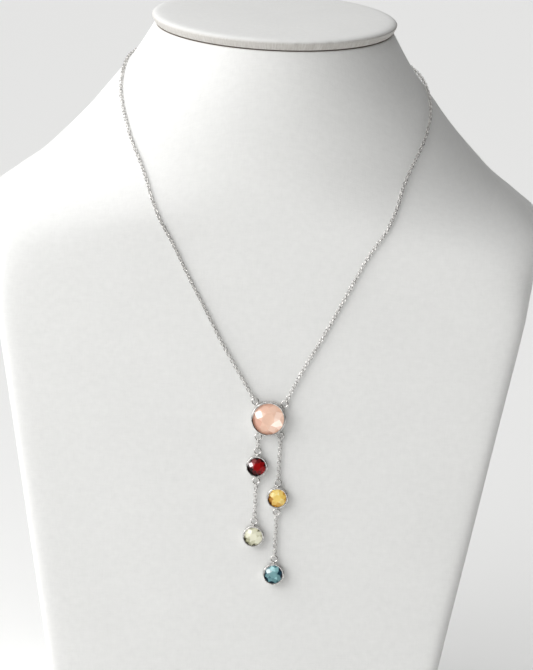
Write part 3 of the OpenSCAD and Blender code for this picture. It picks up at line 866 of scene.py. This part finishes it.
def string_chain(name, replaced, points, out, links, seed):
    """Strings a chain of links along a guide line from its first link's middle to its last's."""
    sizes = bpy.context.scene.necklace_silver
    mesh = bpy.data.meshes.new(name + "_guide")
    mesh.from_pydata(points.tolist(), [(i, i + 1) for i in range(len(points) - 1)], [])
    mesh.attributes.new("out", "FLOAT_VECTOR", "POINT").data.foreach_set("vector", out.ravel())
    guide = bpy.data.objects.new(name + "_guide", mesh)
    bpy.context.scene.collection.objects.link(guide)
    tree, identifiers = link_chain_tree()
    values = {
        "Links": links, "Wire": sizes.link_wire, "Width": sizes.link_width,
        "Length": sizes.link_length, "Roll": sizes.link_roll, "Seed": seed,
        "Finish": material_for("silver"),
    }
    modifier = guide.modifiers.new("chain", "NODES")
    modifier.node_group = tree
    for key, value in values.items():
        modifier[identifiers[key]] = value
    seen = guide.evaluated_get(bpy.context.evaluated_depsgraph_get())
    chain = bpy.data.meshes.new_from_object(seen)
    guide.modifiers.remove(modifier)
    bpy.data.objects.remove(guide)
    bpy.data.node_groups.remove(tree)
    chain.name = name
    return make_piece(name, chain, replaced)


def run_along(line):
    """Distance from a line's start to each of its points."""
    return np.concatenate([[0], np.cumsum(np.linalg.norm(np.diff(line, axis=0), axis=1))])


def trimmed(points, out, margin, steps=400):
    """A line cut by a margin at each end, in even steps, its outward directions and its length."""
    run = run_along(points)
    wanted = np.linspace(margin, run[-1] - margin, steps)
    spots, directions = (
        np.stack([np.interp(wanted, run, part[:, k]) for k in range(3)], -1) for part in (points, out))
    return spots, unit(directions), wanted[-1] - wanted[0]


def hook_reach(sizes):
    """From a ring's middle to the middle of the link that hooks into it."""
    ring_line = (sizes.ring_width - sizes.ring_wire) / 2
    offset = ring_line - (sizes.ring_wire + sizes.link_wire) / 2 - sizes.link_gap
    return offset + (sizes.link_length - sizes.link_wire) / 2


def link_pitch(sizes):
    """From one link's middle to the next one's."""
    return sizes.link_length - 2 * sizes.link_wire - sizes.link_gap


def odd_count(length, pitch):
    """The odd number of links that fits a length best, so that both ends stand upright."""
    return 2 * round(length / pitch / 2) + 1


# Height of the soldered rings over the settings' feet, their distance from the wall, and the radius
# of the solder between them
RING_LIFT = 0.7 * MM
SOLDER_RUN = 0.06 * MM
SOLDER_RADIUS = 0.4 * MM


def ring_distance(width, sizes):
    """From a stone's middle to the middle of a ring soldered to its setting."""
    return width / 2 + sizes.stone_gap + sizes.wall + sizes.ring_width / 2 + SOLDER_RUN


def ring_middle(plane, stone, angle, sizes):
    """Middle of a ring on a stone's setting."""
    u, v, width = plane.stone_seat(stone)
    reach = ring_distance(width, sizes)
    turn = math.radians(angle)
    return plane.place(
        u + reach * math.cos(turn), v + reach * math.sin(turn), sizes.seat_gap + RING_LIFT)


CLASP_HEIGHT = 231.6 * MM
# For how far the chain leaves the clasp's ring in line with it, so that its first link runs free
CLASP_LEAD = 2.8 * MM


def clasp_frame(form, sizes):
    """Middle of the clasp, and the directions to its right, along the bust and out of it."""
    out = form.normal(BACK, CLASP_HEIGHT)
    middle = form.point(BACK, CLASP_HEIGHT) + (sizes.seat_gap + sizes.link_width / 2) * out
    right = np.array([1.0, 0.0, 0.0])
    return middle, right, np.cross(out, right), out


# How many steps of its route a half of the neck chain needs to settle on the leather, and into how
# many pieces the whole route is cut
SETTLE_STEPS = 0.7
ROUTE_SAMPLES = 240


def neck_line(form, plane, sizes, half):
    """Line of one half of the neck chain, with its outward directions."""
    rows = np.array(half.route, float) * (1, MM)
    at = np.arange(len(rows), dtype=float)
    run = np.linspace(0, at[-1], ROUTE_SAMPLES)
    compass, height = blended(rows, at, run).T
    out = form.normal(compass, height)
    settled = np.clip(np.minimum(run, at[-1] - run) / SETTLE_STEPS, 0, 1)[:, None]
    lift = sizes.seat_gap + sizes.link_width / 2 - half.sink * settled
    points = form.point(compass, height) + lift * out
    along = unit(np.gradient(points, axis=0))
    turn = math.radians(half.turn) * settled
    out = out * np.cos(turn) + np.cross(along, out) * np.sin(turn)
    middle, right, _, clasp_out = clasp_frame(form, sizes)
    outwards = half.side * right
    start = middle + (sizes.clasp_width / 2 + sizes.ring_width / 2 + SOLDER_RUN) * outwards
    lead = start + CLASP_LEAD * outwards
    end = ring_middle(plane, LARGE_STONE, half.ring_angle, sizes)
    points = np.concatenate([[start, lead], points, [end]])
    out = np.concatenate([[clasp_out, clasp_out], out, [plane.out]])
    return points, out


def outline_circle(count):
    """Directions round a stone."""
    return np.linspace(0, 2 * math.pi, count, endpoint=False)


def outline_share(stone, angle):
    """Radius of a stone's outline at an angle, as a share of half its width."""
    share = np.ones_like(angle)
    if GEMS[stone].corner:
        corner, flank, strength = GEMS[stone].corner
        away = np.abs((angle - math.radians(corner) + math.pi) % (2 * math.pi) - math.pi)
        share = share + strength * (1 / np.cos(np.clip(math.radians(flank) - away, 0, None)) - 1)
    return share


# Facets of one kind round a stone
FACET_FOLD = 8
# Shares of the stone's radius at which the table, the kites' corners and the flat tip lie
TABLE_SHARE = 0.4
WAIST_SHARE = 0.7
CULET_SHARE = 0.2
# Shares of the stone's width: height of the crown, what the girdle stands higher over its setting's
# foot for it, and height of the setting's wall over the girdle
CROWN_SHARE = 0.17
GIRDLE_SHARE = 0.1
WALL_SHARE = 0.088
# Height of the girdle over its setting's foot without that share, its own height, and the tip's
GIRDLE_FOOT = 0.6 * MM
GIRDLE_HEIGHT = 0.4 * MM
CULET_HEIGHT = 0.25 * MM


def girdle_foot(width):
    """Height of a stone's girdle over its setting's foot."""
    return GIRDLE_FOOT + GIRDLE_SHARE * width


def waist_height(height, flat_share):
    """Height of the kites' corners at which each kite is flat."""
    return height * (1 - WAIST_SHARE * math.cos(math.pi / FACET_FOLD)) / (1 - flat_share)


def stone_mesh(stone, plane, sizes):
    """Cut stone: table, stars, kites and girdle facets above, and the same cut below."""
    u, v, width = plane.stone_seat(stone)
    radius, n = width / 2, FACET_FOLD
    crown, pavilion = CROWN_SHARE * width, girdle_foot(width) - CULET_HEIGHT
    turn, half = math.radians(GEMS[stone].facet_turn), math.pi / n
    # Share of the radius, height over the girdle's lower edge, points and turn of each ring
    rings = (
        (TABLE_SHARE, GIRDLE_HEIGHT + crown, n, 0),
        (WAIST_SHARE, GIRDLE_HEIGHT + waist_height(crown, TABLE_SHARE), n, half),
        (1.0, GIRDLE_HEIGHT, 2 * n, 0),
        (1.0, 0.0, 2 * n, 0),
        (WAIST_SHARE, -waist_height(pavilion, CULET_SHARE), n, half),
        (CULET_SHARE, -pavilion, n, 0),
    )
    flat, heights = [], []
    for share, height, count, offset in rings:
        angle = outline_circle(count) + offset + turn
        reach = share * outline_share(stone, angle)
        flat.append(np.stack([reach * np.cos(angle), reach * np.sin(angle)], -1))
        heights.append(np.full(count, sizes.seat_gap + girdle_foot(width) + height))
    flat, heights = np.concatenate(flat), np.concatenate(heights)
    points = plane.place(u + radius * flat[:, 0], v + radius * flat[:, 1], heights)
    mesh = mesh_from(stone + "_cut", points, stone_faces(n))
    add_facet_tones(mesh, GEMS[stone], flat)
    return mesh


def stone_faces(n):
    """Faces of a cut stone from its rings of points."""
    waist, upper, lower, low_waist, culet = n, 2 * n, 4 * n, 6 * n, 7 * n
    faces = [tuple(range(n)), tuple(culet + k for k in range(n - 1, -1, -1))]
    for k in range(n):
        after, before = (k + 1) % n, (k + n - 1) % n
        g = 2 * k
        g1, g2 = g + 1, (g + 2) % (2 * n)
        faces += [
            (k, waist + k, after),
            (k, waist + before, upper + g, waist + k),
            (waist + k, upper + g, upper + g1),
            (waist + k, upper + g1, upper + g2),
            (culet + k, culet + after, low_waist + k),
            (culet + k, low_waist + k, lower + g, low_waist + before),
            (low_waist + k, lower + g1, lower + g),
            (low_waist + k, lower + g2, lower + g1),
        ]
    for j in range(2 * n):
        after = (j + 1) % (2 * n)
        faces.append((lower + j, lower + after, upper + after, upper + j))
    return faces


def nearness(point, spot):
    """How strongly a spot shows at a point: fully in its middle, fading over its width."""
    degrees, reach, width, strength = spot
    middle = reach * np.array([math.cos(math.radians(degrees)), math.sin(math.radians(degrees))])
    return strength * math.exp(-(np.linalg.norm(point - middle) / width) ** 2)


# Painted light of a facet before its painted rim shade, spots and random differences
MIDDLE_TONE = 0.5


def add_facet_tones(mesh, gem, flat):
    """Gives each facet its painted light and shade, how strongly it mirrors the window, and where the
    window's reflection is painted.
    """
    draw = np.random.default_rng(gem.seed)
    tones, gloss = [], []
    for face in mesh.polygons:
        middle = flat[list(face.vertices)].mean(0)
        # Painted shade towards the girdle, as if the setting shaded it, and spots of painted light and
        # shade
        tone = MIDDLE_TONE - gem.rim * np.linalg.norm(middle) ** 4
        tone += sum(nearness(middle, spot) for spot in gem.spots)
        tones.append(tone + gem.sparkle * draw.uniform(-1, 1))
        gloss.append(nearness(middle, gem.kite))
    for name, values in (("tone", tones), ("gloss", gloss)):
        mesh.attributes.new(name, "FLOAT", "FACE").data.foreach_set("value", values)


def swept_wall(stone, width, profile, count=96):
    """A closed profile carried round a stone's outline: offsets from the stone's edge, and heights."""
    angle = outline_circle(count)
    edge = width / 2 * outline_share(stone, angle)
    offsets, heights = np.array(profile).T
    reach = edge[:, None] + offsets
    points = np.stack([
        reach * np.cos(angle)[:, None], reach * np.sin(angle)[:, None],
        np.broadcast_to(heights, reach.shape)], -1)
    return points.reshape(-1, 3), grid_faces(count, len(profile), closed_rows=True)


def wire_ring(width, wire, middle, steps=48, sides=14):
    """A round ring lying flat round a middle."""
    angle, side = np.meshgrid(outline_circle(steps), outline_circle(sides), indexing="ij")
    reach = (width - wire) / 2 + wire / 2 * np.cos(side)
    points = np.stack([reach * np.cos(angle), reach * np.sin(angle), wire / 2 * np.sin(side)], -1)
    return points.reshape(-1, 3) + middle, grid_faces(steps, sides, closed_rows=True)


def solder_drop(radius, middle, steps=20):
    """A drop of solder."""
    rows = np.linspace(math.pi, 0, steps)[1:-1]
    angle = outline_circle(steps)
    rings = [np.stack([
        radius * math.sin(a) * np.cos(angle), radius * math.sin(a) * np.sin(angle),
        np.full(steps, radius * math.cos(a))], -1) for a in rows]
    points = np.concatenate([*rings, [[0, 0, -radius]], [[0, 0, radius]]]) + middle
    faces = grid_faces(len(rows), steps)
    south, north = len(rows) * steps, len(rows) * steps + 1
    top = (len(rows) - 1) * steps
    for j in range(steps):
        k = (j + 1) % steps
        faces.append((south, k, j))
        faces.append((north, top + j, top + k))
    return points, faces


# Length in millimetres below which an edge that the joining leaves is closed up
HAIR_EDGE = 0.004


def fused(name, shapes, place):
    """One solid of several shapes, joined in millimetres and then put in place."""
    objects = []
    for number, (points, faces) in enumerate(shapes):
        mesh = mesh_from(f"{name}_{number}", np.asarray(points) / MM, faces)
        fix = bmesh.new()
        fix.from_mesh(mesh)
        bmesh.ops.recalc_face_normals(fix, faces=fix.faces)
        fix.to_mesh(mesh)
        fix.free()
        shape = bpy.data.objects.new(mesh.name, mesh)
        bpy.context.scene.collection.objects.link(shape)
        objects.append(shape)
    first = objects[0]
    for shape in objects[1:]:
        joint = first.modifiers.new("join", "BOOLEAN")
        joint.operation = "UNION"
        joint.solver = "EXACT"
        joint.object = shape
    seen = first.evaluated_get(bpy.context.evaluated_depsgraph_get())
    mesh = bpy.data.meshes.new_from_object(seen)
    first.modifiers.clear()
    for shape in objects:
        bpy.data.objects.remove(shape)
    mesh.name = name
    fix = bmesh.new()
    fix.from_mesh(mesh)
    bmesh.ops.dissolve_degenerate(fix, dist=HAIR_EDGE, edges=fix.edges)
    bmesh.ops.triangulate(fix, faces=fix.faces)
    fix.to_mesh(mesh)
    fix.free()
    mesh.transform(place @ Matrix.Scale(MM, 4))
    smooth(mesh, SILVER_CREASE)
    return mesh


def placing(middle, right, up, out):
    """The turn and place that takes X, Y and Z to three directions round a middle."""
    place = Matrix.Identity(4)
    for column, direction in enumerate((right, up, out, middle)):
        for row in range(3):
            place[row][column] = direction[row]
    return place


# A setting's wall in millimetres. The foot's outer edge: inset from the wall's outside, and height
FOOT_EDGE = ((0.14, 0), (0.04, 0.04), (0, 0.14))
# The lip's outer edge: inset from the wall's outside, and depth below the top
LIP_EDGE = ((0, 0.3), (0.03, 0.17), (0.09, 0.07), (0.17, 0.015), (0.25, 0), (0.36, 0))
# The lip's inner edge: overlap with the stone, and depth below the top
LIP_OVERLAP = ((0.08, 0.05), (0.11, 0.11), (0.12, 0.2))
# How far the ledge under the stone reaches in, and its depth below the girdle
LEDGE_REACH = 0.4 * MM
LEDGE_DEPTH = 0.35 * MM
# Clearance of the lip over the girdle, and how much its underside rises towards its edge
LIP_CLEAR = 0.08 * MM
LIP_SLOPE = 0.1 * MM


def wall_profile(width, sizes):
    """Section of a setting's wall: offsets from the stone's edge, and heights over its foot."""
    girdle = girdle_foot(width)
    top = girdle + GIRDLE_HEIGHT + WALL_SHARE * width
    outside = sizes.stone_gap + sizes.wall
    ledge, lip = girdle - LEDGE_DEPTH, girdle + GIRDLE_HEIGHT + LIP_CLEAR
    return [
        (-LEDGE_REACH, 0.0),
        *((outside - inset * MM, rise * MM) for inset, rise in FOOT_EDGE),
        *((outside - inset * MM, top - drop * MM) for inset, drop in LIP_EDGE),
        *((-overlap * MM, top - drop * MM) for overlap, drop in LIP_OVERLAP),
        (-LIP_OVERLAP[-1][0] * MM, lip + LIP_SLOPE),
        (sizes.stone_gap, lip), (sizes.stone_gap, ledge), (-LEDGE_REACH, ledge),
    ]


def setting_shapes(stone, width, sizes):
    """Wall and rings of one setting, round the stone's middle and from the seat up."""
    shapes = [swept_wall(stone, width, wall_profile(width, sizes))]
    solder_distance = width / 2 + sizes.stone_gap + sizes.wall + SOLDER_RUN
    for degrees in ring_angles(stone):
        turn = math.radians(degrees)
        toward = np.array([math.cos(turn), math.sin(turn), 0.0])
        lift = np.array([0.0, 0.0, RING_LIFT])
        ring = ring_distance(width, sizes) * toward + lift
        shapes.append(wire_ring(sizes.ring_width, sizes.ring_wire, ring))
        shapes.append(solder_drop(SOLDER_RADIUS, solder_distance * toward + lift))
    return shapes


class NECKLACE_OT_bust(bpy.types.Operator):
    """Cover the neck bust and its cap in white leather"""

    bl_idname = "necklace.bust"
    bl_label = "Leather Bust"

    def execute(self, context):
        sizes = context.scene.necklace_bust
        form = BustForm(sizes)
        leather = material_for("white_leather")
        make_piece("bust_cover", bust_cover_mesh(sizes, form), ["bust_body"], leather)
        make_piece("cap_cover", cap_cover_mesh(sizes, form), ["neck_cap"], leather)
        return {"FINISHED"}


class NECKLACE_OT_neck_chains(bpy.types.Operator):
    """String both halves of the neck chain over the bust"""

    bl_idname = "necklace.neck_chains"
    bl_label = "Neck Chains"

    def execute(self, context):
        sizes = context.scene.necklace_silver
        form = BustForm(context.scene.necklace_bust)
        plane = PendantPlane(form)
        for number, half in enumerate(HALVES):
            points, out, length = trimmed(*neck_line(form, plane, sizes, half), hook_reach(sizes))
            string_chain(
                f"neck_links_{half.name}", [f"neck_chain_{half.name}"], points, out,
                odd_count(length, link_pitch(sizes)), sizes.seed + number)
        return {"FINISHED"}


# The drop chains' seeds start this far above those of the neck chain
DROP_SEED = 10


class NECKLACE_OT_drop_chains(bpy.types.Operator):
    """String the four short chains between the stones"""

    bl_idname = "necklace.drop_chains"
    bl_label = "Drop Chains"

    def execute(self, context):
        sizes = context.scene.necklace_silver
        plane = PendantPlane(BustForm(context.scene.necklace_bust))
        for number, drop in enumerate(DROPS):
            ends = np.array([
                ring_middle(plane, drop.above, drop.ring_angle, sizes),
                ring_middle(plane, drop.below, TOP, sizes)])
            points, out, _ = trimmed(ends, np.array([plane.out] * 2), hook_reach(sizes))
            string_chain(
                drop.node.replace("chain", "links"), [drop.node], points, out, drop.links,
                sizes.seed + DROP_SEED + number)
        return {"FINISHED"}


class NECKLACE_OT_clasp(bpy.types.Operator):
    """Make the plain clasp behind the neck"""

    bl_idname = "necklace.clasp"
    bl_label = "Clasp"

    def execute(self, context):
        sizes = context.scene.necklace_silver
        form = BustForm(context.scene.necklace_bust)
        shapes = [wire_ring(sizes.clasp_width, sizes.clasp_wire, np.zeros(3), steps=72, sides=20)]
        for side in (-1, 1):
            reach = sizes.clasp_width / 2 + SOLDER_RUN
            ring = np.array([side * (reach + sizes.ring_width / 2), 0, 0])
            shapes.append(wire_ring(sizes.ring_width, sizes.ring_wire, ring))
            shapes.append(solder_drop(SOLDER_RADIUS, np.array([side * reach, 0, 0])))
        mesh = fused("clasp_ring", shapes, placing(*clasp_frame(form, sizes)))
        make_piece("clasp_ring", mesh, ["clasp"], material_for("silver"))
        return {"FINISHED"}


class NECKLACE_OT_settings(bpy.types.Operator):
    """Make the silver settings with their soldered rings"""

    bl_idname = "necklace.settings"
    bl_label = "Settings"

    def execute(self, context):
        sizes = context.scene.necklace_silver
        plane = PendantPlane(BustForm(context.scene.necklace_bust))
        for stone in GEMS:
            u, v, width = plane.stone_seat(stone)
            seat = plane.place(u, v, sizes.seat_gap)
            mesh = fused(
                f"{stone}_bezel", setting_shapes(stone, width, sizes),
                placing(seat, plane.right, plane.up, plane.out))
            make_piece(f"{stone}_bezel", mesh, [f"{stone}_setting"], material_for("silver"))
        return {"FINISHED"}


class NECKLACE_OT_stones(bpy.types.Operator):
    """Cut the five stones"""

    bl_idname = "necklace.stones"
    bl_label = "Stones"

    def execute(self, context):
        sizes = context.scene.necklace_silver
        plane = PendantPlane(BustForm(context.scene.necklace_bust))
        for stone in GEMS:
            mesh = stone_mesh(stone, plane, sizes)
            make_piece(f"{stone}_cut", mesh, [stone], material_for(stone))
        return {"FINISHED"}


class NECKLACE_OT_stage(bpy.types.Operator):
    """Set up the floor, the window light, the soft fill and the camera"""

    bl_idname = "necklace.stage"
    bl_label = "Stage"

    def execute(self, context):
        stage = context.scene.necklace_stage
        target = Vector(stage.look_at)
        add_floor(stage)
        add_key_light(stage, target)
        add_world(stage)
        add_camera(stage, target)
        context.scene.view_settings.view_transform = "Standard"
        return {"FINISHED"}


# Half width of the floor, size of its faint clouds, and the two shades between which they lie
FLOOR_REACH = 6.0
FLOOR_CLOUD = 1.25
FLOOR_SHADES = (paint(212, 212, 211), paint(215, 215, 214))


def add_floor(stage):
    """A plain pale floor."""
    corners = [(x * FLOOR_REACH, y * FLOOR_REACH, 0) for x, y in ((-1, -1), (1, -1), (1, 1), (-1, 1))]
    mesh = mesh_from("floor", corners, [(0, 1, 2, 3)])
    material, board = new_material("floor")
    cloud = board.noise(board.place(), FLOOR_CLOUD)
    finish_material(board, {
        "Base Color": board.mixed(cloud, *(opaque(tint) for tint in FLOOR_SHADES)),
        "Roughness": 0.8,
        "Emission Color": opaque(paint(255, 255, 254)),
        "Emission Strength": stage.floor_glow,
    })
    mesh.materials.append(material)
    floor = bpy.data.objects.new("floor", mesh)
    bpy.context.scene.collection.objects.link(floor)


def direction_to(azimuth, elevation):
    """Direction to a place left of the front and above."""
    flat = math.cos(elevation)
    return Vector((-math.sin(azimuth) * flat, -math.cos(azimuth) * flat, math.sin(elevation)))


def add_key_light(stage, target):
    """A soft window light from the front left."""
    light = bpy.data.lights.new("window", "AREA")
    light.shape = "SQUARE"
    light.size = stage.key_size
    light.energy = stage.key_power
    toward = direction_to(stage.key_azimuth, stage.key_elevation)
    lamp = bpy.data.objects.new("window", light)
    lamp.location = target + toward * stage.key_distance
    lamp.rotation_euler = toward.to_track_quat("Z", "Y").to_euler()
    bpy.context.scene.collection.objects.link(lamp)


def add_world(stage):
    """Soft light from the room: each lobe is brightest in one direction and fades away from it."""
    world = bpy.data.worlds.new("studio")
    world.use_nodes = True
    board = NodeBoard(world.node_tree)
    direction = board.add("ShaderNodeTexCoord", output=0)
    # Strength, the direction that the light comes from, and how narrow it is
    lobes = (
        (stage.fill_left, (-1, -0.3, 1), 2), (stage.fill_behind, (-1, 1, 0.4), 2),
        (stage.fill_above, (0, 0, 1), 2), (stage.fill_front, (-0.7, -1, 0.1), 8),
    )
    level = 0.0
    for strength, toward, narrowness in lobes:
        facing = board.vectors("DOT_PRODUCT", direction, tuple(Vector(toward).normalized()), output=1)
        level = board.maths("MAXIMUM", facing, 0.0) ** narrowness * strength + level
    light = board.add("ShaderNodeBackground", None, {"Strength": level})
    board.add("ShaderNodeOutputWorld", None, {"Surface": light})
    bpy.context.scene.world = world


# The longer side of the picture is its height, so the sensor's width stands for that
SENSOR_SIDE = 36


def add_camera(stage, target):
    """A long lens at the photographed angle, a little above the bust."""
    back = direction_to(stage.camera_azimuth, stage.camera_elevation)
    level_right = Vector((math.cos(stage.camera_azimuth), -math.sin(stage.camera_azimuth), 0))
    level_up = back.cross(level_right)
    roll = stage.camera_roll
    right = level_right * math.cos(roll) - level_up * math.sin(roll)
    up = level_right * math.sin(roll) + level_up * math.cos(roll)
    camera = bpy.data.cameras.new("camera")
    camera.sensor_width = SENSOR_SIDE
    camera.lens = stage.camera_lens
    holder = bpy.data.objects.new("camera", camera)
    holder.matrix_world = placing(target + back * stage.camera_distance, right, up, back)
    bpy.context.scene.collection.objects.link(holder)
    bpy.context.scene.camera = holder


OPERATORS = (
    NECKLACE_OT_stage,
    NECKLACE_OT_bust,
    NECKLACE_OT_neck_chains,
    NECKLACE_OT_drop_chains,
    NECKLACE_OT_clasp,
    NECKLACE_OT_settings,
    NECKLACE_OT_stones,
)
GROUPS = {
    "necklace_bust": BustSizes,
    "necklace_silver": SilverSizes,
    "necklace_finishes": Finishes,
    "necklace_stage": StageSettings,
}


class NECKLACE_PT_panel(bpy.types.Panel):
    """Lists the necklace's sizes, finishes and steps"""

    bl_idname = "NECKLACE_PT_panel"
    bl_label = "Gemstone Necklace"
    bl_space_type = "VIEW_3D"
    bl_region_type = "UI"
    bl_category = "Necklace"

    def draw(self, context):
        for name, group in GROUPS.items():
            box = self.layout.box()
            box.label(text=group.__doc__)
            for key in group.__annotations__:
                box.prop(getattr(context.scene, name), key)
        for step in OPERATORS:
            self.layout.operator(step.bl_idname)


def register():
    for group in GROUPS.values():
        bpy.utils.register_class(group)
    for name, group in GROUPS.items():
        setattr(bpy.types.Scene, name, PointerProperty(type=group))
    for step in OPERATORS:
        bpy.utils.register_class(step)
    bpy.utils.register_class(NECKLACE_PT_panel)


def unregister():
    bpy.utils.unregister_class(NECKLACE_PT_panel)
    for step in reversed(OPERATORS):
        bpy.utils.unregister_class(step)
    for name in GROUPS:
        delattr(bpy.types.Scene, name)
    for group in reversed(list(GROUPS.values())):
        bpy.utils.unregister_class(group)


def main():
    """Builds everything in order."""
    register()
    for step in OPERATORS:
        group, action = step.bl_idname.split(".")
        getattr(getattr(bpy.ops, group), action)()


if __name__ == "__main__":
    main()
